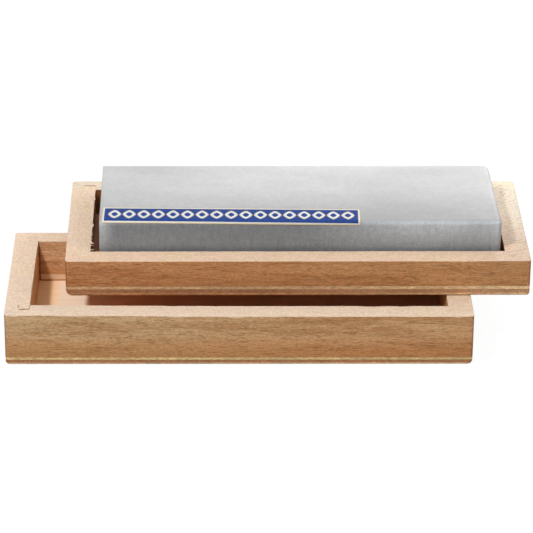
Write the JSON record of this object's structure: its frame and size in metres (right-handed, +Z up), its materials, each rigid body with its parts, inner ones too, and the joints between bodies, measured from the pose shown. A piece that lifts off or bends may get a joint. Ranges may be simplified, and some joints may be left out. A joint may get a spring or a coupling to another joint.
{
  "type": "sharpening whetstone",
  "caption": "Rectangular natural honing stone seated in a shallow wooden base, which rests across its deeper upturned wooden lid; both trays have ply panels.",
  "frame": {"origin": "on the surface that the lid lies on, under the middle of the whole object", "axes": "+X along the trays towards their right end, +Y towards the back, +Z up out of the open trays"},
  "size_m": [0.1952, 0.0892, 0.0461],
  "materials": {
    "honing_stone": "fine lapped",
    "label_paper": "satin print",
    "base_long_wall": "sanded beech",
    "base_end_wall": "sanded beech",
    "lid_long_wall": "sanded beech",
    "lid_end_wall": "sanded beech",
    "ply_face": "sanded plywood face",
    "ply_core": "sawn plywood core"
  },
  "bodies": {
    "lid": {"lid_front_wall": "lid_long_wall", "lid_back_wall": "lid_long_wall", "lid_left_end": "lid_end_wall", "lid_right_end": "lid_end_wall", "lid_inner_ply": "ply_face", "lid_core_ply": "ply_core", "lid_outer_ply": "ply_face"},
    "base": {"base_front_wall": "base_long_wall", "base_back_wall": "base_long_wall", "base_left_end": "base_end_wall", "base_right_end": "base_end_wall", "base_inner_ply": "ply_face", "base_core_ply": "ply_core", "base_outer_ply": "ply_face"},
    "stone": {"stone": "honing_stone", "label": "label_paper"}
  },
  "joints": [
    {"name": "base_lift", "type": "slide", "parent": "lid", "child": "base", "axis": [0, 0, 1], "range_m": [0, 0.06]},
    {"name": "stone_lift", "type": "slide", "parent": "base", "child": "stone", "axis": [0, 0, 1], "range_m": [0, 0.04]}
  ]
}
